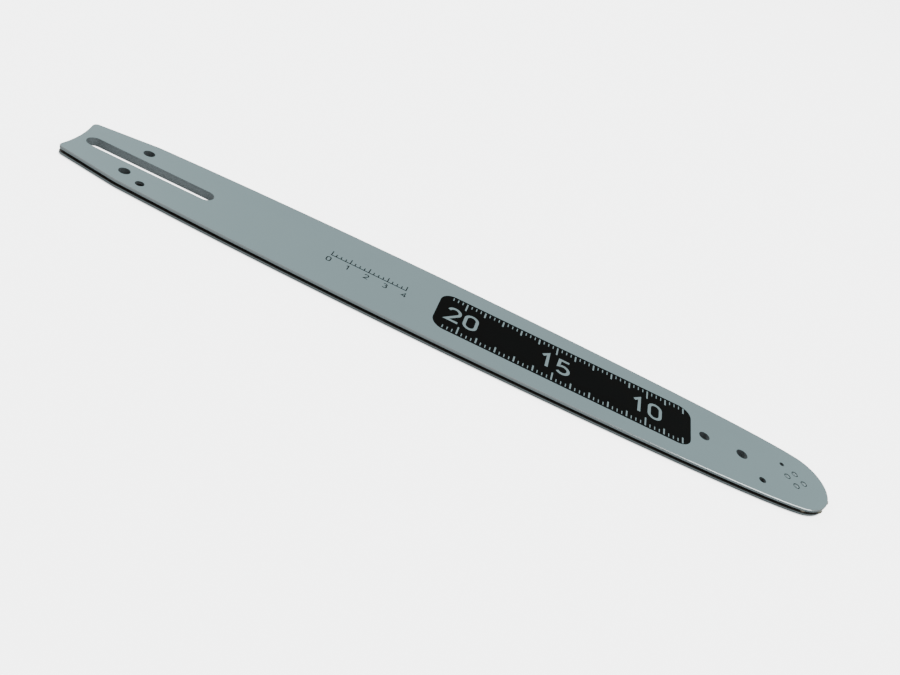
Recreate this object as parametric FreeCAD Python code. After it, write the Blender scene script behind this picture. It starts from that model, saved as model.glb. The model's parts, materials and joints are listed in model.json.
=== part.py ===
import FreeCAD, Part
import math
import os

os.makedirs("parts", exist_ok=True)

# A laminated chainsaw guide bar with a sprocket nose, lying on its side.
# All lengths are in millimetres and all angles in degrees. Until the last step x runs from the tail to
# the nose, y runs across the bar and z runs up from the underside of the lower side plate.

# Laminations
side_plate_thickness = 1.45
groove_width = 1.5
groove_depth = 6.0
core_setback = 1.0
edge_chamfer = 0.3

# Outline of the rails
rail_length = 405.6
tail_half_width = 15.9
tail_notch_depth = 2.05
tail_corner_radius = 2.7
taper_angle = 10.0
shoulder_x = 31.1
shoulder_radius = 30.0
back_slope = 3.85
back_start_handle = 72.0
back_end_handle = 22.0
widest_x = 205.0
widest_half_width = 27.25
front_start_handle = 22.0
front_end_handle = 34.0
front_slope = 12.85
nose_radius = 20.1

# Slot over the saw's studs, tensioner holes and oil hole
slot_start = 5.9
slot_end = 72.5
slot_width = 8.3
tensioner_x = 32.1
tensioner_spacing = 23.66
tensioner_radius = 2.84
oil_hole_x = 42.3
oil_hole_y = 16.0
oil_hole_radius = 2.2

# Nose wheel: hub, rollers and sprocket
hub_ahead_of_nose_centre = 2.2
hub_radius = 8.2
roller_radius = 1.0
roller_gap = 0.06
running_clearance = 0.02
side_clearance = 0.06
tooth_count = 10
tooth_tip_radius = 19.0
tooth_root_radius = 13.8
tooth_tip_half_angle = 3.3
gullet_radius = 3.0
first_tooth_angle = -9.0
pocket_clearance = 1.0

# Rivets through the hub
rivet_count = 4
rivet_circle_radius = 4.5
rivet_shank_radius = 1.4
rivet_head_radius = 1.8
rivet_head_depth = 0.6
rivet_dome_height = 0.2
rivet_clearance = 0.01

# Holes behind the nose, placed from the hub
first_hole_behind_hub = 50.25
first_hole_radius = 2.9
second_hole_behind_hub = 29.6
second_hole_radius = 3.1
locating_hole_angle = 213.7
locating_hole_wall = 1.15
locating_hole_radius = 1.9
grease_hole_behind_hub = 6.9
grease_hole_y = 7.65
grease_hole_radius = 1.3

# Worked out from the sizes above
bar_thickness = 2 * side_plate_thickness + groove_width
upper_plate_z = side_plate_thickness + groove_width
nose_centre_x = rail_length - nose_radius
hub_x = nose_centre_x + hub_ahead_of_nose_centre
roller_circle_radius = hub_radius + running_clearance + roller_radius
sprocket_bore_radius = roller_circle_radius + roller_radius + running_clearance
tooth_pitch_angle = 360.0 / tooth_count
pocket_radius = tooth_tip_radius + pocket_clearance
cut_margin = 1.0

Vector = FreeCAD.Vector
origin = Vector(0, 0, 0)
up = Vector(0, 0, 1)


def polar(radius, angle):
    """Vector of the given length in the plane of the bar, at an angle from the x axis."""
    turn = math.radians(angle)
    return Vector(radius * math.cos(turn), radius * math.sin(turn), 0)


def arc(centre, start, end):
    """Edge along the shorter arc from start to end about the centre."""
    radius = (start - centre).Length
    middle = (start - centre) + (end - centre)
    middle.normalize()
    return Part.Arc(start, centre + middle * radius, end).toShape()


def line(start, end):
    return Part.LineSegment(start, end).toShape()


def bezier(poles):
    """Edge along the cubic curve with these four poles."""
    curve = Part.BezierCurve()
    curve.setPoles(poles)
    return curve.toShape()


def solid_from(edges, height):
    """Solid of the given height on the closed outline that the edges make."""
    wire = Part.Wire(Part.__sortEdges__(edges))
    return Part.Face(wire).extrude(up * height)


def cylinder(x, y, radius, bottom, top):
    return Part.makeCylinder(radius, top - bottom, Vector(x, y, bottom))


def through_hole(x, y, radius):
    """Cutter for a round hole through all the laminations."""
    return cylinder(x, y, radius, -cut_margin, bar_thickness + cut_margin)


def half_outline(inset, setback):
    """Edges of the half with positive y, from the middle of the tail to the tip.

    The inset narrows the outline all the way round, and the setback moves its tail towards the nose."""
    along = polar(1, taper_angle)
    inward = polar(1, taper_angle - 90)

    # Tail: a shallow notch, a round corner and a straight taper
    notch_radius = (tail_half_width ** 2 + tail_notch_depth ** 2) / (2 * tail_notch_depth)
    notch_centre = Vector(setback + tail_notch_depth - notch_radius, 0, 0)
    taper_start = Vector(0, tail_half_width - inset, 0)
    from_notch = taper_start + inward * tail_corner_radius - notch_centre
    reach = notch_radius + tail_corner_radius
    half_b = from_notch.dot(along)
    step = -half_b + math.sqrt(half_b ** 2 - from_notch.dot(from_notch) + reach ** 2)
    corner_centre = taper_start + inward * tail_corner_radius + along * step
    corner_on_taper = corner_centre - inward * tail_corner_radius
    corner_on_notch = notch_centre + (corner_centre - notch_centre) * (notch_radius / reach)
    notch_middle = notch_centre + Vector(notch_radius, 0, 0)

    # Shoulder: a short arc from the taper to the long back of the bar
    shoulder_start = taper_start + Vector(shoulder_x, shoulder_x * math.tan(math.radians(taper_angle)), 0)
    shoulder_centre = shoulder_start + inward * shoulder_radius
    shoulder_end = shoulder_centre + polar(shoulder_radius, 90 + back_slope)

    # Back and front: two curves that meet at the widest place
    widest = Vector(widest_x, widest_half_width - inset, 0)
    nose_centre = Vector(nose_centre_x, 0, 0)
    nose_start = nose_centre + polar(nose_radius - inset, 90 - front_slope)
    tip = nose_centre + Vector(nose_radius - inset, 0, 0)
    back = [shoulder_end, shoulder_end + polar(back_start_handle, back_slope),
            widest - Vector(back_end_handle, 0, 0), widest]
    front = [widest, widest + Vector(front_start_handle, 0, 0),
             nose_start - polar(front_end_handle, -front_slope), nose_start]

    return [arc(notch_centre, notch_middle, corner_on_notch),
            arc(corner_centre, corner_on_notch, corner_on_taper),
            line(corner_on_taper, shoulder_start),
            arc(shoulder_centre, shoulder_start, shoulder_end),
            bezier(back),
            bezier(front),
            arc(nose_centre, nose_start, tip)]


def lamination(inset, setback, bottom, thickness):
    """Plain plate with the bar's outline, before any hole is cut."""
    half = half_outline(inset, setback)
    other_half = [edge.mirror(origin, Vector(0, 1, 0)) for edge in half]
    plate = solid_from(half + other_half, thickness)
    plate.translate(up * bottom)
    return plate


def chamfer_outline(plate, face_z):
    """Break the edge all round the plate's face at this height."""
    def lies_on_face(edge):
        return all(abs(vertex.Z - face_z) < 1e-6 for vertex in edge.Vertexes)
    return plate.makeChamfer(edge_chamfer, [edge for edge in plate.Edges if lies_on_face(edge)])


def slot_cutter():
    """Stadium-shaped cutter for the slot, through all the laminations."""
    radius = slot_width / 2
    first = slot_start + radius
    last = slot_end - radius
    middle = Part.makeBox(last - first, slot_width, bar_thickness + 2 * cut_margin,
                          Vector(first, -radius, -cut_margin))
    return middle.fuse([through_hole(first, 0, radius), through_hole(last, 0, radius)])


def rivet_places():
    """Centres of the rivets, evenly spaced round the hub."""
    hub = Vector(hub_x, 0, 0)
    return [hub + polar(rivet_circle_radius, 360.0 / rivet_count * k) for k in range(rivet_count)]


def rivet_hole(place):
    """Cutter for one rivet, countersunk from both faces of the bar."""
    shank = rivet_shank_radius + rivet_clearance
    head = rivet_head_radius + rivet_clearance
    hole = through_hole(place.x, place.y, shank)
    lower = Part.makeCone(head, shank, rivet_head_depth, Vector(place.x, place.y, 0))
    upper = Part.makeCone(shank, head, rivet_head_depth,
                          Vector(place.x, place.y, bar_thickness - rivet_head_depth))
    return hole.fuse([lower, upper])


def shared_cutters():
    """Cutters for the openings that go through side plates and core alike."""
    holes = [through_hole(tensioner_x, side * tensioner_spacing / 2, tensioner_radius) for side in (-1, 1)]
    holes.append(through_hole(hub_x - first_hole_behind_hub, 0, first_hole_radius))
    holes.append(through_hole(hub_x - second_hole_behind_hub, 0, second_hole_radius))
    locating = polar(pocket_radius + locating_hole_wall + locating_hole_radius, locating_hole_angle)
    holes.append(through_hole(hub_x + locating.x, locating.y, locating_hole_radius))
    return [slot_cutter()] + holes


def side_plate(bottom, outer_face_z, oil_side):
    """One outer lamination. Each has its oil hole on its own side, so the bar can be turned over."""
    plate = chamfer_outline(lamination(0, 0, bottom, side_plate_thickness), outer_face_z)
    cutters = shared_cutters()
    cutters.append(through_hole(oil_hole_x, oil_side * oil_hole_y, oil_hole_radius))
    cutters.append(through_hole(hub_x - grease_hole_behind_hub, grease_hole_y, grease_hole_radius))
    cutters += [rivet_hole(place) for place in rivet_places()]
    return plate.cut(cutters)


def core_plate():
    """Inner lamination, set in from the rails by the depth of the chain groove.

    It stops short of the nose in a round pocket for the sprocket, and is notched below both oil holes."""
    plate = lamination(groove_depth, core_setback, side_plate_thickness, groove_width)
    pocket = through_hole(hub_x, 0, pocket_radius)
    notches = [through_hole(oil_hole_x, side * oil_hole_y, oil_hole_radius) for side in (-1, 1)]
    return plate.cut(shared_cutters() + notches + [pocket])


def nose_hub():
    """Fixed disc between the side plates that the rollers run on."""
    disc = cylinder(hub_x, 0, hub_radius, side_plate_thickness, upper_plate_z)
    return disc.cut([rivet_hole(place) for place in rivet_places()])


def nose_rollers():
    """Full circle of needle rollers between the hub and the sprocket."""
    pitch = 2 * roller_radius + roller_gap
    count = int(2 * math.pi * roller_circle_radius / pitch)
    bottom = side_plate_thickness + side_clearance
    rollers = []
    for k in range(count):
        place = Vector(hub_x, 0, 0) + polar(roller_circle_radius, 360.0 / count * k)
        rollers.append(cylinder(place.x, place.y, roller_radius, bottom, upper_plate_z - side_clearance))
    return Part.makeCompound(rollers)


def tooth_and_gullet(tooth_angle):
    """Edges of one tooth's tip and flank, the round gullet after it and the next tooth's flank."""
    next_angle = tooth_angle + tooth_pitch_angle
    gullet_angle = tooth_angle + tooth_pitch_angle / 2
    gullet_centre = polar(tooth_root_radius + gullet_radius, gullet_angle)
    tip_start = polar(tooth_tip_radius, tooth_angle - tooth_tip_half_angle)
    tip_end = polar(tooth_tip_radius, tooth_angle + tooth_tip_half_angle)
    next_tip = polar(tooth_tip_radius, next_angle - tooth_tip_half_angle)

    # The flank is the tangent from the tip's corner to the gullet circle
    to_corner = tip_end - gullet_centre
    spread = math.degrees(math.acos(gullet_radius / to_corner.Length))
    corner_angle = math.degrees(math.atan2(to_corner.y, to_corner.x))
    touch = polar(gullet_radius, corner_angle - spread)
    if touch.dot(gullet_centre) > polar(gullet_radius, corner_angle + spread).dot(gullet_centre):
        touch = polar(gullet_radius, corner_angle + spread)
    first_touch = gullet_centre + touch
    mirror_normal = polar(1, gullet_angle + 90)
    last_touch = first_touch - mirror_normal * (2 * first_touch.dot(mirror_normal))
    bottom = polar(tooth_root_radius, gullet_angle)

    return [arc(origin, tip_start, tip_end),
            line(tip_end, first_touch),
            Part.Arc(first_touch, bottom, last_touch).toShape(),
            line(last_touch, next_tip)]


def nose_sprocket():
    """Toothed ring that turns on the rollers and carries the chain round the nose."""
    edges = []
    for k in range(tooth_count):
        edges += tooth_and_gullet(first_tooth_angle + tooth_pitch_angle * k)
    wheel = solid_from(edges, groove_width - 2 * side_clearance)
    wheel.translate(Vector(hub_x, 0, side_plate_thickness + side_clearance))
    return wheel.cut(through_hole(hub_x, 0, sprocket_bore_radius))


def rivet(place):
    """Countersunk rivet with a low dome at each end."""
    dome_radius = (rivet_head_radius ** 2 + rivet_dome_height ** 2) / (2 * rivet_dome_height)
    low_pole = Vector(0, 0, -rivet_dome_height)
    low_rim = Vector(rivet_head_radius, 0, 0)
    low_neck = Vector(rivet_shank_radius, 0, rivet_head_depth)
    high_neck = Vector(rivet_shank_radius, 0, bar_thickness - rivet_head_depth)
    high_rim = Vector(rivet_head_radius, 0, bar_thickness)
    high_pole = Vector(0, 0, bar_thickness + rivet_dome_height)
    edges = [arc(low_pole + up * dome_radius, low_pole, low_rim),
             line(low_rim, low_neck),
             line(low_neck, high_neck),
             line(high_neck, high_rim),
             arc(high_pole - up * dome_radius, high_rim, high_pole),
             line(high_pole, low_pole)]
    body = Part.Face(Part.Wire(edges)).revolve(origin, up, 360)
    body.translate(place)
    return body


nodes = {
    "upper_side_plate": side_plate(upper_plate_z, bar_thickness, -1),
    "lower_side_plate": side_plate(0, 0, 1),
    "core_plate": core_plate(),
    "nose_sprocket": nose_sprocket(),
    "nose_hub": nose_hub(),
    "nose_rollers": nose_rollers(),
    "nose_rivets": Part.makeCompound([rivet(place) for place in rivet_places()]),
}

# The origin of the finished part is the middle of the underside of its box, as it lies on the rivet heads
box = Part.makeCompound(list(nodes.values())).optimalBoundingBox(False, False)
to_underside_middle = Vector(-(box.XMin + box.XMax) / 2, -(box.YMin + box.YMax) / 2, -box.ZMin)

for name, shape in nodes.items():
    shape.translate(to_underside_middle)
    shape.exportStep("parts/" + name + ".step")
    print(name, "solids", len(shape.Solids), "volume", round(shape.Volume, 1), "valid", shape.isValid())
print("the model is moved by", [round(value, 4) for value in to_underside_middle])
print("overall size", round(box.XLength, 3), round(box.YLength, 3), round(box.ZLength, 3))
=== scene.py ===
import json
import math

import bpy
import numpy as np
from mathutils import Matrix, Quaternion, Vector


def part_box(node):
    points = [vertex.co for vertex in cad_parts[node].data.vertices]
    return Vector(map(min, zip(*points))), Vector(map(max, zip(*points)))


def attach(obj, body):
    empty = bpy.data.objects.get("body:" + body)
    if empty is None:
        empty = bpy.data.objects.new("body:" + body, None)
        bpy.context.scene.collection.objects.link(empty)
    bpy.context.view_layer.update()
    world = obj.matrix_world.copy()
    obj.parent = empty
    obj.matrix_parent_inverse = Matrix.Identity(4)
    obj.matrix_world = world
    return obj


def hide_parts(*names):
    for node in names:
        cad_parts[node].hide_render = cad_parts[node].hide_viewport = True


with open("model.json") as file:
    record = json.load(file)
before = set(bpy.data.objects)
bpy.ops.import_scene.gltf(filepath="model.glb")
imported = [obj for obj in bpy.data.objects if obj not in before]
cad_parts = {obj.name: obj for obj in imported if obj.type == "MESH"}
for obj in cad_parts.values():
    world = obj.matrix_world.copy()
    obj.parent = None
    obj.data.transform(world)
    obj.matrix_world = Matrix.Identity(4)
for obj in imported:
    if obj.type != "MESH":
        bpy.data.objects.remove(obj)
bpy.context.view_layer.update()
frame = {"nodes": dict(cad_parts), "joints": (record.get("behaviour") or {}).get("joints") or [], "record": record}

bl_info = {
    "name": "Chainsaw guide bar",
    "version": (1, 0, 0),
    "blender": (4, 5, 0),
    "location": "3D View > Sidebar > Guide Bar",
    "description": "Finishes a laminated guide bar with a sprocket nose and sets it on a pale floor",
    "category": "Object",
}

MM = 0.001

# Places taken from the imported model, in metres
joints = {joint["name"]: joint for joint in frame["joints"]}
mounts = {mount["name"]: mount for mount in frame["record"]["mounts"]}
HUB = Vector(joints["sprocket_turn"]["pos_m"])
UPPER_FACE = mounts["upper_clamp_face"]["pos_m"][2]
LOWER_FACE = mounts["lower_clamp_face"]["pos_m"][2]
PLATE_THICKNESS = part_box("lower_side_plate")[1].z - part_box("lower_side_plate")[0].z
TAIL_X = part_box("upper_side_plate")[0].x
NOSE_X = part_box("upper_side_plate")[1].x

# Ends of lines on the centreline: the middles of the slot's round ends, the openings of a side plate and
# those of the core
SLOT_START, SLOT_END = TAIL_X + 10.05 * MM, TAIL_X + 68.35 * MM
OPENINGS_START, OPENINGS_END = TAIL_X + 0.022, HUB.x - 0.0022
CORE_OPENINGS_START, CORE_OPENINGS_END = TAIL_X + 0.01, HUB.x - 0.0296

# Where one finish gives way to the next. First depths below the outer face, then distances from those
# lines or from a hole's axis
PAINT_ENDS = (0.00002, 0.00009)
BROKEN_EDGE_ENDS = (0.00026, 0.00034)
GROOVE_STARTS = (PLATE_THICKNESS - 0.00008, PLATE_THICKNESS - 0.00002)
SLOT_WALL_ENDS = (0.0046, 0.0049)
RAILS_START = (0.0183, 0.0188)
CORE_WALL_ENDS = (0.0050, 0.0053)
TENSIONER_WALL_ENDS = (0.0030, 0.0032)
# How much the paint's lower border wavers
PAINT_WAVER = 0.0001

# How much lighter than the core its oily patches and the groove's walls are
OIL_LIGHT = 3.0

# Edges that turn more than this are shaded sharp
SHARP_ANGLE = math.radians(35.0)

# Sockets of a Mix node set to colours, which share their names with others
MIX_FACTOR, MIX_FIRST, MIX_SECOND, MIX_RESULT = 0, 6, 7, 2


def length(name, description, default):
    return bpy.props.FloatProperty(name=name, description=description, default=default, unit="LENGTH",
                                   precision=5)


def colour(name, description, default):
    return bpy.props.FloatVectorProperty(name=name, description=description, default=default, size=3,
                                         subtype="COLOR", min=0.0, max=1.0)


def share(name, description, default):
    return bpy.props.FloatProperty(name=name, description=description, default=default, min=0.0, max=1.0,
                                   subtype="FACTOR")


def strength(name, description, default):
    return bpy.props.FloatProperty(name=name, description=description, default=default, min=0.0)


# Settings


class GUIDEBAR_PG_steel(bpy.types.PropertyGroup):
    """Colours and finish of the painted plates and of the bare steel."""
    paint: colour("Paint", "Satin paint on both faces", (0.321, 0.417, 0.433))
    paint_roughness: share("Paint roughness", "How dull the paint is", 0.64)
    paint_metallic: share("Metal in the paint", "How much the paint shines like metal", 0.25)
    edge: colour("Broken edges", "Polished steel of the narrow slopes round both faces", (0.72, 0.76, 0.76))
    rail: colour("Rails", "Ground steel of the rails' sides", (0.295, 0.34, 0.35))
    opening: colour("Openings", "Punched steel inside the slot and the holes", (0.26, 0.29, 0.3))
    core: colour("Core", "Oiled steel inside the groove", (0.03, 0.027, 0.024))
    wheel: colour("Wheel", "Hardened steel of the star wheel", (0.23, 0.2, 0.15))
    roller: colour("Rollers", "Ground steel of the needle rollers", (0.56, 0.56, 0.55))


class GUIDEBAR_PG_wheel(bpy.types.PropertyGroup):
    """Sizes of the star wheel in the nose and of what it runs on."""
    teeth: bpy.props.IntProperty(name="Teeth", description="Number of teeth", default=10, min=6, max=16)
    tip_radius: length("Tip radius", "From the hub's centre to the teeth's tips", 0.019)
    root_radius: length("Root radius", "From the hub's centre to the bottom of the gullets", 0.0138)
    gullet_radius: length("Gullet radius", "Radius of the round gullets", 0.003)
    bore_radius: length("Bore radius", "Radius of the wheel's bore", 0.01024)
    first_tooth: bpy.props.FloatProperty(name="First tooth", description="Angle of the tooth at the tip",
                                         default=math.radians(-9.0), subtype="ANGLE")
    tip_half_angle: bpy.props.FloatProperty(name="Half a tip", description="Half the angle a tooth's tip spans",
                                            default=math.radians(3.3), subtype="ANGLE")
    bevel: length("Bevel", "Width of the broken edges", 0.00014)
    rollers: bpy.props.IntProperty(name="Rollers", description="Number of needle rollers", default=28, min=8)
    roller_radius: length("Roller radius", "Radius of one needle roller", 0.001)
    roller_circle: length("Roller circle", "From the hub's centre to a roller's centre", 0.00922)
    roller_round: length("Roller rounding", "Rounding of the rollers' ends", 0.00016)


class GUIDEBAR_PG_rivets(bpy.types.PropertyGroup):
    """Sizes of the rivets through the hub."""
    count: bpy.props.IntProperty(name="Rivets", description="Number of rivets", default=4, min=2)
    circle: length("Circle", "From the hub's centre to a rivet's centre", 0.0045)
    head_radius: length("Head radius", "Radius of a rivet's head", 0.0018)
    shank_radius: length("Shank radius", "Radius of a rivet's shank", 0.0014)
    head_depth: length("Head depth", "Depth of the countersunk head", 0.0006)
    dome: share("Dome", "The dome's share of the head's radius, the rest being the groove round it", 0.74)
    groove_depth: length("Groove depth", "Depth of the groove round the dome below the face", 0.0004)


class GUIDEBAR_PG_scales(bpy.types.PropertyGroup):
    """The two printed scales on the upper face, measured back from the tip."""
    ink: colour("Ink", "Black ink", (0.003, 0.003, 0.0027))
    ink_depth: length("Ink depth", "Thickness of the printed film", 0.00003)
    band_near: length("Band start", "From the tip to the near end of the large scale", 0.0756)
    band_far: length("Band end", "From the tip to the far end of the large scale", 0.2136)
    band_width: length("Band width", "Width of the large scale across the bar", 0.031)
    band_corner: length("Band corner", "Corner radius of the large scale", 0.007)
    numeral_height: length("Numerals", "Height of the large scale's numbers", 0.0125)
    rule_near: length("Rule start", "From the tip to the near end of the small rule", 0.2306)
    rule_numeral_height: length("Small numerals", "Height of the small rule's numbers", 0.0042)


class GUIDEBAR_PG_stage(bpy.types.PropertyGroup):
    """Floor, light and camera."""
    floor: colour("Floor", "Pale floor", (0.8, 0.8, 0.8))
    floor_glow: strength("Glow", "How much the floor shines towards the camera, as a light table does", 5.7)
    floor_radius: length("Floor radius", "How far the floor reaches", 9.0)
    sky: strength("Sky", "Strength of the light from all round", 0.38)
    beyond: strength("Beyond the floor", "Brightness that the picture shows past the floor", 4.95)
    key_power: strength("Key light", "Power in watts of the soft box beyond the tail", 37.0)
    edge_power: strength("Edge light", "Power in watts of the soft box in front of the nose", 4.8)
    fill_power: strength("Fill light", "Power in watts of the soft box behind the nose", 13.5)
    camera_place: bpy.props.FloatVectorProperty(
        name="Camera place", description="Where the camera stands",
        default=(-0.011688, -0.37065, 0.2376), unit="LENGTH", precision=5)
    camera_turn: bpy.props.FloatVectorProperty(
        name="Camera turn", description="How the camera is turned",
        default=tuple(math.radians(a) for a in (53.4107, -22.0713, 13.6646)), subtype="EULER")
    lens: bpy.props.FloatProperty(name="Lens", description="Focal length in millimetres", default=36.05)


class GUIDEBAR_PG_settings(bpy.types.PropertyGroup):
    """All the settings of the guide bar."""
    steel: bpy.props.PointerProperty(type=GUIDEBAR_PG_steel)
    wheel: bpy.props.PointerProperty(type=GUIDEBAR_PG_wheel)
    rivets: bpy.props.PointerProperty(type=GUIDEBAR_PG_rivets)
    scales: bpy.props.PointerProperty(type=GUIDEBAR_PG_scales)
    stage: bpy.props.PointerProperty(type=GUIDEBAR_PG_stage)


# Surfaces


def grid_quads(rows, columns, rows_join=False):
    """Quads between neighbouring rows of a grid whose columns run all the way round."""
    row = np.arange(rows if rows_join else rows - 1)[:, None]
    column = np.arange(columns)[None, :]
    next_row = (row + 1) % rows
    next_column = (column + 1) % columns
    corners = [row * columns + column, row * columns + next_column,
               next_row * columns + next_column, next_row * columns + column]
    return np.stack(corners, -1).reshape(-1, 4)


def ring_surface(rings):
    """Closed ring-shaped surface: a closed profile carried round a closed path.

    rings has one row for each point of the profile and one column for each step of the path."""
    rows, columns = rings.shape[:2]
    return rings.reshape(-1, 3), [grid_quads(rows, columns, rows_join=True)]


def capped_surface(rings, low_pole, high_pole):
    """Closed surface from rings stacked from low to high, with a fan to a pole at each end."""
    rows, columns = rings.shape[:2]
    vertices = np.vstack([rings.reshape(-1, 3), low_pole, high_pole])
    column = np.arange(columns)
    following = (column + 1) % columns
    last = (rows - 1) * columns
    low, high = np.full(columns, rows * columns), np.full(columns, rows * columns + 1)
    return vertices, [grid_quads(rows, columns), np.stack([low, following, column], -1),
                      np.stack([high, last + column, last + following], -1)]


def repeated(surface, places):
    """The same surface at every place, as one set of vertices and faces."""
    vertices, faces = surface
    steps = np.arange(len(places))[:, None, None] * len(vertices)
    return ((vertices[None] + places[:, None]).reshape(-1, 3),
            [(part[None] + steps).reshape(-1, part.shape[1]) for part in faces])


def circle(radius, count):
    """Points evenly round a circle in the plane of the bar."""
    turn = np.arange(count) * (2 * np.pi / count)
    return radius * np.stack([np.cos(turn), np.sin(turn)], -1)


def lifted(outline, height):
    """The flat outline at one height, as a row of points in space."""
    return np.column_stack([outline, np.full(len(outline), height)])


def revolved(profile, columns):
    """Profile of (radius, height) pairs carried round an upright axis: x = r cos t, y = r sin t, z = h."""
    unit = circle(1.0, columns)
    return np.concatenate([profile[:, :1, None] * unit[None],
                           np.broadcast_to(profile[:, 1:, None], (len(profile), columns, 1))], -1)


def rounded_rectangle(low, high, corner, steps=8):
    """Outline that runs left round about a rectangle, with a quarter circle at each corner."""
    quarter = np.linspace(0, np.pi / 2, steps)
    centres = np.array([(high[0] - corner, high[1] - corner), (low[0] + corner, high[1] - corner),
                        (low[0] + corner, low[1] + corner), (high[0] - corner, low[1] + corner)])
    turns = quarter[None] + np.arange(4)[:, None] * (np.pi / 2)
    return (centres[:, None] + corner * np.stack([np.cos(turns), np.sin(turns)], -1)).reshape(-1, 2)


def slab(outline, low, high):
    """Flat plate between two heights on an outline that can be seen whole from its middle."""
    middle = outline.mean(0)
    return capped_surface(np.stack([lifted(outline, low), lifted(outline, high)]),
                          [*middle, low], [*middle, high])


def make_piece(name, surface, body, material):
    """Mesh object of a surface, shaded smooth except across sharp edges, riding on a body."""
    vertices, faces = surface
    mesh = bpy.data.meshes.new(name)
    mesh.from_pydata(vertices.tolist(), [], [face for part in faces for face in part.tolist()])
    mesh.shade_smooth()
    mesh.set_sharp_from_angle(angle=SHARP_ANGLE)
    mesh.materials.append(material)
    mesh.validate()
    piece = bpy.data.objects.new(name, mesh)
    bpy.context.scene.collection.objects.link(piece)
    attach(piece, body)
    return piece


# Materials


class Value:
    """A number that varies over a surface. Sums and products of values add Math nodes."""

    def __init__(self, graph, socket):
        self.graph = graph
        self.socket = socket

    def math(self, operation, *others):
        given = [self, *others]
        return self.graph.add("ShaderNodeMath", {"operation": operation},
                              {place: value for place, value in enumerate(given)})[0]

    def __add__(self, other):
        return self.math("ADD", other)

    def __radd__(self, other):
        return self.math("ADD", other)

    def __sub__(self, other):
        return self.math("SUBTRACT", other)

    def __rsub__(self, other):
        return (self * -1.0).math("ADD", other)

    def __mul__(self, other):
        return self.math("MULTIPLY", other)

    def __abs__(self):
        return self.math("ABSOLUTE")

    def root(self):
        return self.math("SQRT")

    def least(self, other):
        return self.math("MINIMUM", other)

    def most(self, other):
        return self.math("MAXIMUM", other)

    def between(self, low, high):
        """0 below low, 1 above high and a smooth step between them."""
        return self.graph.add("ShaderNodeMapRange", {"interpolation_type": "SMOOTHSTEP"},
                              {"Value": self, "From Min": low, "From Max": high})[0]


class Graph:
    """A node tree to which nodes are added."""

    def __init__(self, tree):
        self.tree = tree

    def add(self, kind, settings, values, *outputs):
        """Add a node: settings first, then values or links. Gives the outputs named, or the first one."""
        node = self.tree.nodes.new(kind)
        for name, value in settings.items():
            setattr(node, name, value)
        for name, value in values.items():
            if isinstance(value, Value):
                self.tree.links.new(value.socket, node.inputs[name])
            else:
                node.inputs[name].default_value = value
        found = [node.outputs[output] for output in outputs] or [node.outputs[0]]
        return [Value(self, socket) for socket in found]


class Finish(Graph):
    """The node tree of one material, with the surface's own places at hand."""

    def __init__(self, name):
        self.material = bpy.data.materials.new(name)
        self.material.use_nodes = True
        super().__init__(self.material.node_tree)
        self.shader = self.tree.nodes["Principled BSDF"]
        self.place = self.add("ShaderNodeTexCoord", {}, {}, "Object")[0]
        self.x, self.y, self.z = self.add("ShaderNodeSeparateXYZ", {}, {"Vector": self.place}, "X", "Y", "Z")

    def noise(self, scale, detail=2.0, roughness=0.5):
        """Noise from 0 to 1 with so many waves a metre, one number for all the axes or one for each."""
        scale = scale if hasattr(scale, "__len__") else (scale,) * 3
        stretched = self.add("ShaderNodeMapping", {}, {"Vector": self.place, "Scale": scale})[0]
        return self.add("ShaderNodeTexNoise", {}, {"Vector": stretched, "Scale": 1.0, "Detail": detail,
                                                   "Roughness": roughness})[0]

    def stain(self):
        """Patches of old oil, flatter than they are wide."""
        return self.noise((90.0, 90.0, 300.0), detail=3.0)

    def blend(self, factor, first, second):
        """First colour where the factor is 0 and second where it is 1."""
        values = {MIX_FACTOR: factor, MIX_FIRST: first, MIX_SECOND: second}
        for key in (MIX_FIRST, MIX_SECOND):
            if not isinstance(values[key], Value):
                values[key] = (*values[key], 1.0)
        return self.add("ShaderNodeMix", {"data_type": "RGBA"}, values, MIX_RESULT)[0]

    def scaled(self, colour_value, factor):
        """Colour made lighter or darker by a number."""
        return self.add("ShaderNodeVectorMath", {"operation": "SCALE"},
                        {0: colour_value, "Scale": factor})[0]

    def bump(self, height, distance, strength=1.0):
        return self.add("ShaderNodeBump", {}, {"Height": height, "Distance": distance, "Strength": strength})[0]

    def set(self, **values):
        """Set the shader's sockets, given with _ for the spaces in their names."""
        for name, value in values.items():
            socket = self.shader.inputs[name.replace("_", " ")]
            if isinstance(value, Value):
                self.tree.links.new(value.socket, socket)
            elif hasattr(value, "__len__") and len(value) == 3:
                socket.default_value = (*value, 1.0)
            else:
                socket.default_value = value
        return self.material


def away_from_line(finish, start_x, end_x):
    """Distance to the bar's centreline between two places: the root of dx squared plus y squared."""
    middle, half = (start_x + end_x) / 2, (end_x - start_x) / 2
    past_end = (abs(finish.x - middle) - half).most(0.0)
    return (past_end * past_end + finish.y * finish.y).root()


def times(plain, factor):
    """A colour from the settings made lighter or darker by a number, without a node."""
    return tuple(c * factor for c in plain)


def opening_colour(finish, steel, stain):
    """Punched steel with patches of old oil: as it is in the slot, and darkened in the round holes as painted
    shade.
    """
    in_slot = 1.0 - away_from_line(finish, SLOT_START, SLOT_END).between(*SLOT_WALL_ENDS)
    patchy = finish.blend(stain, tuple(steel.opening), times(steel.opening, 1.2))
    # Painted shade: outside the slot the walls are darkened to 0.6, standing for the shade inside the narrower
    # round holes
    return finish.scaled(patchy, 0.6 + in_slot * 0.4)


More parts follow.
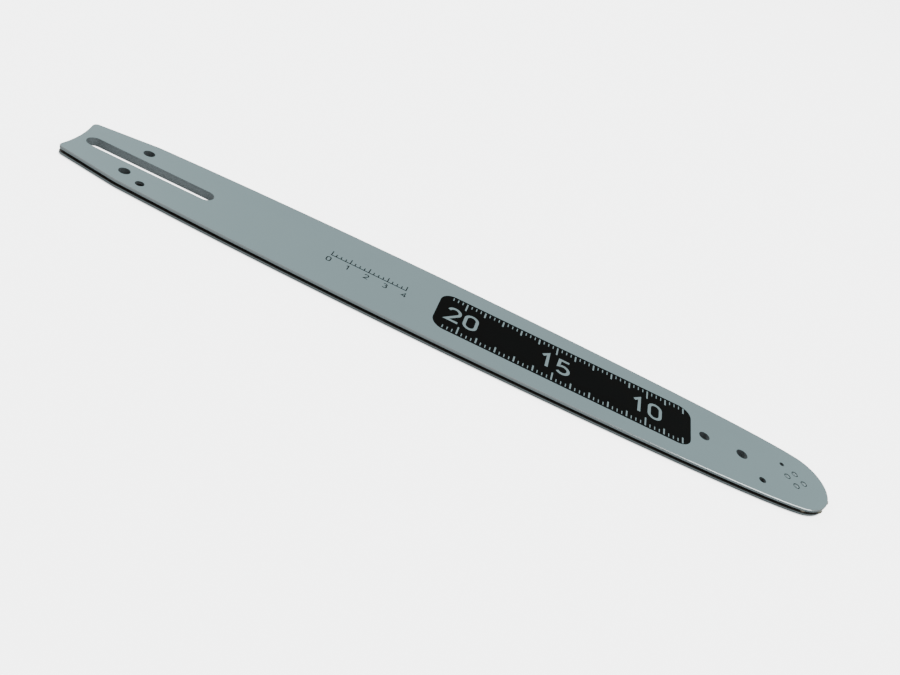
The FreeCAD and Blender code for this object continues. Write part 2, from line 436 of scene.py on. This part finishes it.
def plate_finish(name, steel, outer_face, outward):
    """Satin paint on the outer face, bare steel on the broken edge, the rail and the groove's wall.

    The depth below the outer face tells these apart, and the distance to the centreline tells rails
    from openings."""
    f = Finish(name)
    depth = (outer_face - f.z) * float(outward)
    nibble = f.noise(900.0, detail=3.0)
    painted_face = 1.0 - (depth + (nibble - 0.5) * PAINT_WAVER).between(*PAINT_ENDS)
    past_edge = depth.between(*BROKEN_EDGE_ENDS)
    past_rail = depth.between(*GROOVE_STARTS)
    in_openings = 1.0 - away_from_line(f, OPENINGS_START, OPENINGS_END).between(*RAILS_START)
    cloud = f.noise(28.0, detail=3.0)
    flake = f.noise(5200.0, detail=1.0)
    grain = f.noise(1500.0, detail=2.0)
    tone = 0.93 + cloud * 0.07 + flake * 0.07 + (grain - 0.5) * 0.05
    lines = f.noise((60.0, 60.0, 9000.0), detail=3.0, roughness=0.65)
    stain = f.stain()
    rail = f.scaled(f.blend(past_edge, tuple(steel.edge), tuple(steel.rail)), 0.78 + lines * 0.3 + stain * 0.14)
    side = f.blend(past_rail, rail, times(steel.core, OIL_LIGHT))
    bare = f.blend(in_openings, side, opening_colour(f, steel, stain))
    bare_rough = 0.14 + past_edge * 0.22 + in_openings * 0.12 + lines * 0.08
    bare_metallic = 0.9
    under_paint = painted_face * (bare_metallic - steel.paint_metallic)
    under_oil = in_openings.most(past_rail) * 0.6
    return f.set(Base_Color=f.blend(painted_face, bare, f.scaled(tuple(steel.paint), tone)),
                 Metallic=bare_metallic - under_paint.most(under_oil),
                 Roughness=bare_rough + painted_face * (steel.paint_roughness - bare_rough) + grain * 0.03,
                 Normal=f.bump(grain * 0.6 + flake * 0.4, distance=0.00002, strength=0.5))


def oiled_finish(name, base, light, roughness, steel=None):
    """Dark steel under a film of oil: cloudy patches and fine streaks along the bar.

    With steel given, the walls of the openings near the centreline and of the two tensioner holes are
    clean like those of the side plates, with round holes darkened by the same painted shade."""
    f = Finish(name)
    patch = f.noise((120.0, 120.0, 500.0), detail=4.0)
    streak = f.noise((60.0, 400.0, 4000.0), detail=3.0)
    shown = f.blend(patch.between(0.35, 0.75) * 0.6 + streak * 0.4, base, light)
    if steel:
        hole = mounts["tensioner_hole_far"]["pos_m"]
        dx, dy = f.x - hole[0], abs(f.y) - abs(hole[1])
        line = away_from_line(f, CORE_OPENINGS_START, CORE_OPENINGS_END)
        near_line = 1.0 - line.between(*CORE_WALL_ENDS)
        near_hole = 1.0 - (dx * dx + dy * dy).root().between(*TENSIONER_WALL_ENDS)
        wall = opening_colour(f, steel, f.stain())
        # The round holes' walls carry the painted shade of opening_colour
        shown = f.blend(near_line.most(near_hole), shown, wall)
    return f.set(Base_Color=shown, Metallic=0.3, Roughness=roughness - 0.12 + patch * 0.24,
                 Normal=f.bump(streak, distance=0.00001, strength=0.4))


def wheel_finish(name, steel):
    """Hardened steel, polished by the chain at the tips and brown with old grease towards the hub."""
    f = Finish(name)
    dx, dy = f.x - HUB.x, f.y - HUB.y
    out = (dx * dx + dy * dy).root()
    temper = f.noise(420.0, detail=4.0)
    scratch = f.noise((2600.0, 2600.0, 400.0), detail=2.0)
    chain_reach = (0.0168, 0.0186)
    polished = (out + (temper - 0.5) * 0.002).between(*chain_reach)
    brown = tuple(c * k for c, k in zip(steel.wheel, (0.62, 0.52, 0.42)))
    bright = tuple(min(1.0, c * 1.7 + 0.05) for c in steel.wheel)
    worked = f.blend(polished * 0.8, f.blend(temper.between(0.3, 0.7), tuple(steel.wheel), brown), bright)
    return f.set(Base_Color=f.scaled(worked, 0.9 + scratch * 0.2), Metallic=0.9,
                 Roughness=0.46 - polished * 0.16 + scratch * 0.1,
                 Normal=f.bump(scratch, distance=0.000008, strength=0.4))


def roller_finish(name, steel):
    """Bright ground steel with thin smears of grease."""
    f = Finish(name)
    smear = f.noise(700.0, detail=3.0)
    smeared = f.blend(smear.between(0.45, 0.75), tuple(steel.roller), times(steel.roller, 0.55))
    return f.set(Base_Color=smeared, Metallic=1.0, Roughness=0.2 + smear * 0.2)


def rivet_finish(name, steel, rivets):
    """The plates' paint over the heads, thin on the domes, with painted shade darkening the groove round each."""
    f = Finish(name)
    dx, dy = abs(f.x - HUB.x), abs(f.y - HUB.y)
    along = dx.most(dy) - rivets.circle
    across = dx.least(dy)
    out = (along * along + across * across).root()
    grain = f.noise(1800.0, detail=2.0)
    dome = rivets.head_radius * rivets.dome
    # Painted shade: the groove round each dome is darkened to 0.15 of the paint's colour
    groove_shade = out.between(dome * 0.84, dome * 0.96)
    worn = (1.0 - out.between(0.0, dome)) * grain.between(0.3, 0.6)
    paint = f.scaled(tuple(steel.paint), 0.95 + grain * 0.1)
    shade = f.blend(groove_shade, paint, times(steel.paint, 0.15))
    return f.set(Base_Color=f.blend(worn * 0.3, shade, tuple(steel.edge)), Metallic=0.4,
                 Roughness=0.46 + grain * 0.08, Normal=f.bump(grain, distance=0.00001))


def ink_finish(name, ink, roughness):
    """Screen-printed ink: an even film, a little thinner in places, with the print screen's fine grain."""
    f = Finish(name)
    thin = f.noise(60.0, detail=3.0)
    grain = f.noise(3500.0, detail=2.0)
    tone = 0.8 + thin * 0.35 + grain * 0.15
    return f.set(Base_Color=f.scaled(ink, tone), Roughness=roughness + grain * 0.1,
                 Specular_IOR_Level=0.06, Normal=f.bump(grain, distance=0.00001, strength=0.5))


def silver_finish(name, steel):
    """The plates' paint, as it shows where the black print leaves it free."""
    f = Finish(name)
    grain = f.noise(1500.0, detail=2.0)
    return f.set(Base_Color=f.scaled(tuple(steel.paint), 0.95 + grain * 0.1),
                 Metallic=steel.paint_metallic, Roughness=steel.paint_roughness + grain * 0.03)


def floor_finish(name, stage):
    """Matt pale board with a trace of unevenness.

    In the picture it also glows, but the glow puts no light on the bar. Where the bar touches it, the glow
    is darkened as a painted contact shadow."""
    f = Finish(name)
    tone = f.scaled(tuple(stage.floor), 0.995 + f.noise(3.0, detail=2.0) * 0.01)
    # Painted contact shadow: ambient occlusion darkens the floor's glow close to the bar
    clear = f.add("ShaderNodeAmbientOcclusion", {"samples": 12}, {"Distance": 0.0008}, "AO")[0]
    seen = f.add("ShaderNodeLightPath", {}, {}, "Is Camera Ray")[0]
    return f.set(Base_Color=tone, Roughness=0.9, Emission_Color=f.scaled(tone, clear * seen),
                 Emission_Strength=stage.floor_glow)


def soft_world(name, stage):
    """Even light from all round. Past the floor the picture shows the floor's own brightness."""
    world = bpy.data.worlds.new(name)
    world.use_nodes = True
    graph = Graph(world.node_tree)
    light = graph.add("ShaderNodeBackground", {}, {"Color": (0.97, 0.985, 1.0, 1.0), "Strength": stage.sky})[0]
    beyond = graph.add("ShaderNodeBackground", {}, {"Color": (1.0, 1.0, 1.0, 1.0), "Strength": stage.beyond})[0]
    seen = graph.add("ShaderNodeLightPath", {}, {}, "Is Camera Ray")[0]
    shown = graph.add("ShaderNodeMixShader", {}, {0: seen, 1: light, 2: beyond})[0]
    graph.tree.links.new(shown.socket, graph.tree.nodes["World Output"].inputs["Surface"])
    return world


# Operators


class GUIDEBAR_OT_plates(bpy.types.Operator):
    """Paint the side plates and leave their rails and openings bare."""
    bl_idname = "guidebar.plates"
    bl_label = "Side plates"

    def execute(self, context):
        steel = context.scene.guide_bar.steel
        for node, face, outward in (("upper_side_plate", UPPER_FACE, 1), ("lower_side_plate", LOWER_FACE, -1)):
            dress(node, plate_finish(node + "_finish", steel, face, outward))
        return {"FINISHED"}


class GUIDEBAR_OT_core(bpy.types.Operator):
    """Oil the core plate, which shows in the groove and the openings, and the hub between the plates."""
    bl_idname = "guidebar.core"
    bl_label = "Core and hub"

    def execute(self, context):
        steel = context.scene.guide_bar.steel
        oiled = oiled_finish("oiled_core", tuple(steel.core), times(steel.core, OIL_LIGHT), 0.5, steel)
        dress("core_plate", oiled)
        greased = oiled_finish("greased_hub", tuple(steel.wheel), tuple(steel.roller), 0.4)
        dress("nose_hub", greased)
        return {"FINISHED"}


def dress(node, material):
    """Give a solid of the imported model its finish."""
    shown = frame["nodes"][node]
    shown.data.materials.clear()
    shown.data.materials.append(material)


class GUIDEBAR_OT_wheel(bpy.types.Operator):
    """Make the star wheel with bevelled teeth."""
    bl_idname = "guidebar.wheel"
    bl_label = "Star wheel"

    def execute(self, context):
        settings = context.scene.guide_bar
        wheel = settings.wheel
        low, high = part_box("nose_sprocket")
        outline = star_outline(wheel)
        inside = inset(outline, wheel.bevel)
        unit = outline / np.linalg.norm(outline, axis=1, keepdims=True)
        bore, wide_bore = unit * wheel.bore_radius, unit * (wheel.bore_radius + wheel.bevel)
        section = [(wide_bore, low.z), (inside, low.z), (outline, low.z + wheel.bevel),
                   (outline, high.z - wheel.bevel), (inside, high.z), (wide_bore, high.z),
                   (bore, high.z - wheel.bevel), (bore, low.z + wheel.bevel)]
        rings = np.stack([lifted(flat + (HUB.x, HUB.y), height) for flat, height in section])
        piece = make_piece("star_wheel", ring_surface(rings), "sprocket",
                           wheel_finish("worked_wheel", settings.steel))
        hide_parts("nose_sprocket")
        return {"FINISHED"}


def star_outline(wheel):
    """Outline of the star wheel about its own centre, running left round.

    Each tooth is an arc of the tip circle. Straight flanks join it to round gullets, and each flank is
    the tangent from the tip's corner to the gullet's circle."""
    pitch = 2 * math.pi / wheel.teeth
    gullet_centre = np.array([wheel.root_radius + wheel.gullet_radius, 0.0])
    corner_turn = wheel.tip_half_angle - pitch / 2
    corner = wheel.tip_radius * np.array([math.cos(corner_turn), math.sin(corner_turn)])
    reach = corner - gullet_centre
    spread = math.acos(wheel.gullet_radius / math.hypot(*reach))
    touch = math.atan2(reach[1], reach[0]) - spread
    turn = np.linspace(touch, -2 * math.pi - touch, num=19)
    gullet = gullet_centre + wheel.gullet_radius * np.stack([np.cos(turn), np.sin(turn)], -1)
    tip_turn = np.linspace(-wheel.tip_half_angle, wheel.tip_half_angle, num=5) - pitch / 2
    tip = wheel.tip_radius * np.stack([np.cos(tip_turn), np.sin(tip_turn)], -1)
    one = np.vstack([tip, gullet])
    turns = wheel.first_tooth + pitch / 2 + pitch * np.arange(wheel.teeth)
    cos, sin = np.cos(turns)[:, None], np.sin(turns)[:, None]
    return np.stack([cos * one[:, 0] - sin * one[:, 1], sin * one[:, 0] + cos * one[:, 1]], -1).reshape(-1, 2)


def inset(outline, distance):
    """The outline moved inwards along the mean normal of its two neighbouring edges."""
    way = np.roll(outline, -1, 0) - np.roll(outline, 1, 0)
    inward = np.stack([-way[:, 1], way[:, 0]], -1) / np.linalg.norm(way, axis=1, keepdims=True)
    return outline + inward * distance


class GUIDEBAR_OT_rollers(bpy.types.Operator):
    """Make the needle rollers between hub and wheel, with rounded ends."""
    bl_idname = "guidebar.rollers"
    bl_label = "Needle rollers"

    def execute(self, context):
        settings = context.scene.guide_bar
        wheel = settings.wheel
        low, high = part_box("nose_rollers")
        turn = np.linspace(0, np.pi / 2, num=4)
        edge = wheel.roller_radius - wheel.roller_round + wheel.roller_round * np.sin(turn)
        rise = wheel.roller_round * (1 - np.cos(turn))
        lower = np.column_stack([edge, low.z + rise])
        upper = np.column_stack([edge, high.z - rise])[::-1]
        profile = np.vstack([lower, upper])
        places = np.column_stack([circle(wheel.roller_circle, wheel.rollers) + (HUB.x, HUB.y),
                                  np.zeros(wheel.rollers)])
        one = capped_surface(revolved(profile, columns=24), [0, 0, low.z], [0, 0, high.z])
        piece = make_piece("needle_rollers", repeated(one, places), "rollers",
                           roller_finish("ground_rollers", settings.steel))
        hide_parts("nose_rollers")
        return {"FINISHED"}


class GUIDEBAR_OT_rivets(bpy.types.Operator):
    """Make the rivets: low domes, each with the groove that the setting tool leaves round it.

    Up to its share of the radius, a head is part of a ball that rises from the groove's bottom. From
    there a straight slope leads up to the rim."""
    bl_idname = "guidebar.rivets"
    bl_label = "Rivets"

    def execute(self, context):
        settings = context.scene.guide_bar
        rivets = settings.rivets
        rise = LOWER_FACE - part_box("nose_rivets")[0].z
        on_ball = rivets.dome * np.sin(np.linspace(0.06, np.pi / 2, num=14))
        on_slope = np.linspace(rivets.dome, 1, num=5)[1:-1]
        out = np.concatenate([on_ball, on_slope])
        ball = (rise + rivets.groove_depth) * np.sqrt(1 - np.clip(out / rivets.dome, 0, 1) ** 2)
        slope = rivets.groove_depth * np.clip((out - rivets.dome) / (1 - rivets.dome), 0, 1)
        height = ball - rivets.groove_depth + slope
        lower = np.column_stack([out * rivets.head_radius, LOWER_FACE - height])
        upper = np.column_stack([out * rivets.head_radius, UPPER_FACE + height])[::-1]
        rim = 0.1 * MM
        shank = np.array([(rivets.head_radius, LOWER_FACE + rim),
                          (rivets.shank_radius, LOWER_FACE + rivets.head_depth),
                          (rivets.shank_radius, UPPER_FACE - rivets.head_depth),
                          (rivets.head_radius, UPPER_FACE - rim)])
        profile = np.vstack([lower, shank, upper])
        one = capped_surface(revolved(profile, columns=40), [0, 0, LOWER_FACE - rise],
                             [0, 0, UPPER_FACE + rise])
        places = np.column_stack([circle(rivets.circle, rivets.count) + (HUB.x, HUB.y),
                                  np.zeros(rivets.count)])
        piece = make_piece("painted_rivets", repeated(one, places), "bar",
                           rivet_finish("painted_rivet", settings.steel, rivets))
        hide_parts("nose_rivets")
        return {"FINISHED"}


def bars(places, widths, heights, low, high):
    """Upright boxes with a middle place (x, y), a width along x and a height along y, as one surface."""
    corner = np.array([(-1, -1), (1, -1), (1, 1), (-1, 1)]) / 2
    sizes = np.column_stack([widths, heights])
    flat = places[:, None] + corner[None] * sizes[:, None]
    points = np.concatenate([np.dstack([flat, np.full(flat.shape[:2], low)]),
                             np.dstack([flat, np.full(flat.shape[:2], high)])], 1)
    faces = np.array([(3, 2, 1, 0), (4, 5, 6, 7), (0, 1, 5, 4), (1, 2, 6, 5), (2, 3, 7, 6), (3, 0, 4, 7)])
    steps = np.arange(len(places))[:, None, None] * points.shape[1]
    return points.reshape(-1, 3), [(faces[None] + steps).reshape(-1, 4)]


def sweep(centre, radius, start, end, steps=14):
    """Points along an arc, with angles in degrees."""
    turn = np.radians(np.linspace(start, end, steps))
    return np.array(centre) + radius * np.stack([np.cos(turn), np.sin(turn)], -1)


# Centre lines of plain numerals, each in a cell 1 high
STROKES = {
    "0": np.vstack([sweep((0.3, 0.7), 0.24, 0, 180), sweep((0.3, 0.3), 0.24, 180, 360)]),
    "1": np.array([(0.14, 0.74), (0.36, 0.94), (0.36, 0.06)]),
    "2": np.vstack([sweep((0.3, 0.69), 0.24, 165, -30), [(0.06, 0.06), (0.56, 0.06)]]),
    "3": np.vstack([sweep((0.29, 0.72), 0.215, 150, -75), sweep((0.29, 0.3), 0.24, 75, -150)]),
    "4": np.array([(0.44, 0.06), (0.44, 0.9), (0.06, 0.3), (0.58, 0.3)]),
    "5": np.vstack([[(0.52, 0.94), (0.13, 0.94), (0.1, 0.52)], sweep((0.29, 0.32), 0.255, 118, -145)]),
}
CELL_WIDTH = 0.74
CELL_GAP = 0.14
STROKE_WIDTH = 0.13

# Smallest cosine of half a corner's turn for which the mitre is full
MITRE_LIMIT = 0.45


def ribbon(line, width, low, high, closed=False):
    """Flat bar of even width along a line: an upright rectangle carried along it, mitred at each corner."""
    before = line - np.roll(line, 1, 0)
    after = np.roll(line, -1, 0) - line
    if not closed:
        before[0], after[-1] = after[0], before[-1]
    before /= np.linalg.norm(before, axis=1, keepdims=True)
    after /= np.linalg.norm(after, axis=1, keepdims=True)
    way = before + after
    way /= np.linalg.norm(way, axis=1, keepdims=True)
    reach = width / 2 / np.maximum((way * after).sum(1), MITRE_LIMIT)
    side = np.stack([-way[:, 1], way[:, 0]], -1) * reach[:, None]
    rows = np.stack([lifted(line - side, low), lifted(line + side, low),
                     lifted(line + side, high), lifted(line - side, high)], 1)
    last = 4 * (len(line) - 1)
    ends = [] if closed else [np.array([(0, 1, 2, 3), (last + 3, last + 2, last + 1, last)])]
    return rows.reshape(-1, 3), [grid_quads(len(line), 4, rows_join=closed)[:, ::-1], *ends]


def numerals(labels, height, low, high):
    """Plain numbers drawn as ribbons, each number centred on its place."""
    written = []
    for words, place in labels:
        start = np.array(place) - np.array([CELL_WIDTH * len(words) - CELL_GAP, 1.0]) * height / 2
        for position, digit in enumerate(words):
            line = start + (STROKES[digit] + (CELL_WIDTH * position, 0.0)) * height
            written.append(ribbon(line, STROKE_WIDTH * height, low, high, closed=digit == "0"))
    return joined(*written)


def joined(*surfaces):
    """Several surfaces as one."""
    counts = np.cumsum([0] + [len(points) for points, _ in surfaces])
    return (np.vstack([points for points, _ in surfaces]),
            [part + count for (_, parts), count in zip(surfaces, counts) for part in parts])


# Both scales: the step between ticks, the steps in 1 and in 5 cm, and the width of a tick
TICK_STEP = 0.0025
ONE_CM, FIVE_CM = 4, 20
TICK_WIDTH, WIDE_TICK_WIDTH = 0.0005, 0.0008

# The large scale: lengths of its ticks, and how far they stay from its ends and its long edges
FIVE_CM_TICK, ONE_CM_TICK, SHORT_TICK = 0.0062, 0.0044, 0.0024
END_MARGIN, EDGE_MARGIN = 0.004, 0.0012

# The small rule: its steps, the lengths of its ticks, the width of its line, and the places across the
# bar of the line's middle, the ticks' feet and the numbers
RULE_STEPS = 16
RULE_CM_TICK, RULE_SHORT_TICK = 0.0036, 0.002
RULE_LINE_WIDTH = 0.0006
RULE_LINE_Y, RULE_FOOT_Y, RULE_NUMBERS_Y = 0.001, 0.0012, -0.0032


class GUIDEBAR_OT_scales(bpy.types.Operator):
    """Print a large length scale and a small rule on the upper face."""
    bl_idname = "guidebar.scales"
    bl_label = "Printed scales"

    def execute(self, context):
        settings = context.scene.guide_bar
        scales = settings.scales
        buried = UPPER_FACE - scales.ink_depth
        top = UPPER_FACE + scales.ink_depth / 2
        over = top + scales.ink_depth / 2
        black = ink_finish("black_ink", tuple(scales.ink), 0.5)
        silver = silver_finish("silver_ink", settings.steel)
        half = scales.band_width / 2
        band = rounded_rectangle((NOSE_X - scales.band_far, -half), (NOSE_X - scales.band_near, half),
                                 scales.band_corner)
        make_piece("scale_band", slab(band, buried, top), "bar", black)
        first = math.ceil((scales.band_near + END_MARGIN) / TICK_STEP)
        last = math.floor((scales.band_far - END_MARGIN) / TICK_STEP)
        marks = np.arange(first, last + 1)
        tall = np.select([marks % FIVE_CM == 0, marks % ONE_CM == 0], [FIVE_CM_TICK, ONE_CM_TICK], SHORT_TICK)
        wide = np.where(marks % ONE_CM == 0, WIDE_TICK_WIDTH, TICK_WIDTH)
        x, y = NOSE_X - marks * TICK_STEP, half - EDGE_MARGIN - tall / 2
        upper, lower = (bars(np.column_stack([x, side * y]), wide, tall, buried, over) for side in (1, -1))
        make_piece("scale_ticks", joined(upper, lower), "bar", silver)
        labels = [(str(cm), (NOSE_X - cm * 0.01, 0.0)) for cm in (10, 15, 20)]
        make_piece("scale_numbers", numerals(labels, scales.numeral_height, buried, over), "bar", silver)

        marks = np.arange(RULE_STEPS + 1)
        x = NOSE_X - scales.rule_near - (RULE_STEPS - marks) * TICK_STEP
        tall = np.where(marks % ONE_CM == 0, RULE_CM_TICK, RULE_SHORT_TICK)
        wide = np.full(len(marks), TICK_WIDTH)
        ticks = bars(np.column_stack([x, RULE_FOOT_Y + tall / 2]), wide, tall, buried, top)
        line = bars(np.array([(x.mean(), RULE_LINE_Y)]), np.array([np.ptp(x) + TICK_WIDTH]),
                    np.array([RULE_LINE_WIDTH]), buried, top)
        make_piece("rule_ticks", joined(ticks, line), "bar", black)
        labels = [(str(cm), (place, RULE_NUMBERS_Y)) for cm, place in enumerate(x[::ONE_CM])]
        make_piece("rule_numbers", numerals(labels, scales.rule_numeral_height, buried, top), "bar", black)
        return {"FINISHED"}


class GUIDEBAR_OT_stage(bpy.types.Operator):
    """Set up the pale floor, the soft light and the camera."""
    bl_idname = "guidebar.stage"
    bl_label = "Stage"

    def execute(self, context):
        stage = context.scene.guide_bar.stage
        board = floor_finish("pale_board", stage)
        edge = lifted(circle(stage.floor_radius, count=96), height=0.0)
        mesh = bpy.data.meshes.new("floor")
        mesh.from_pydata(edge.tolist(), [], [list(range(len(edge)))])
        mesh.materials.append(board)
        floor = bpy.data.objects.new("floor", mesh)
        context.scene.collection.objects.link(floor)
        context.scene.world = soft_world("soft_light", stage)

        for name, place, aim, roll, size, tint, power in lamps(stage):
            lamp = bpy.data.lights.new(name, "AREA")
            lamp.shape = "RECTANGLE"
            lamp.size, lamp.size_y = size
            lamp.energy = power
            lamp.color = tint
            holder = bpy.data.objects.new(name, lamp)
            holder.location = place
            aimed = (Vector(aim) - Vector(place)).to_track_quat("-Z", "Y")
            holder.rotation_euler = (aimed @ Quaternion((0, 0, 1), math.radians(roll))).to_euler()
            context.scene.collection.objects.link(holder)

        camera = bpy.data.cameras.new("camera")
        camera.sensor_width = 36.0
        camera.lens = stage.lens
        camera.clip_start = 0.01
        camera.clip_end = 50.0
        holder = bpy.data.objects.new("camera", camera)
        holder.location = stage.camera_place
        holder.rotation_euler = stage.camera_turn
        context.scene.collection.objects.link(holder)
        context.scene.camera = holder
        return {"FINISHED"}


def lamps(stage):
    """Soft boxes: name, place, aim, roll in degrees, size, colour and power."""
    cool, cooler = (0.93, 1.0, 1.0), (0.85, 1.0, 1.0)
    return [("key_light", (-1.7, 0.9, 1.5), (0.0, 0.0, 0.0), 0, (1.1, 1.1), cool, stage.key_power),
            ("edge_light", (1.1, -0.55, 0.985), (0.15, 0.0, 0.0), -36, (1.1, 0.45), cool, stage.edge_power),
            ("fill_light", (1.7, 1.0, 1.3), (0.1, 0.0, 0.0), 0, (1.2, 1.2), cooler, stage.fill_power)]


OPERATORS = (GUIDEBAR_OT_plates, GUIDEBAR_OT_core, GUIDEBAR_OT_wheel, GUIDEBAR_OT_rollers,
             GUIDEBAR_OT_rivets, GUIDEBAR_OT_scales, GUIDEBAR_OT_stage)


class GUIDEBAR_PT_panel(bpy.types.Panel):
    """The guide bar's pieces, in the order in which they are made."""
    bl_idname = "GUIDEBAR_PT_panel"
    bl_label = "Guide bar"
    bl_space_type = "VIEW_3D"
    bl_region_type = "UI"
    bl_category = "Guide Bar"

    def draw(self, context):
        for operator in OPERATORS:
            self.layout.operator(operator.bl_idname)
        for group in ("steel", "wheel", "rivets", "scales", "stage"):
            box = self.layout.box()
            settings = getattr(context.scene.guide_bar, group)
            for name in settings.bl_rna.properties.keys():
                if name not in ("name", "rna_type"):
                    box.prop(settings, name)


CLASSES = (GUIDEBAR_PG_steel, GUIDEBAR_PG_wheel, GUIDEBAR_PG_rivets, GUIDEBAR_PG_scales, GUIDEBAR_PG_stage,
           GUIDEBAR_PG_settings, *OPERATORS, GUIDEBAR_PT_panel)


def register():
    for each in CLASSES:
        bpy.utils.register_class(each)
    bpy.types.Scene.guide_bar = bpy.props.PointerProperty(type=GUIDEBAR_PG_settings)


def unregister():
    del bpy.types.Scene.guide_bar
    for each in reversed(CLASSES):
        bpy.utils.unregister_class(each)


def main():
    register()
    bpy.ops.guidebar.plates()
    bpy.ops.guidebar.core()
    bpy.ops.guidebar.wheel()
    bpy.ops.guidebar.rollers()
    bpy.ops.guidebar.rivets()
    bpy.ops.guidebar.scales()
    bpy.ops.guidebar.stage()


if __name__ == "__main__":
    main()
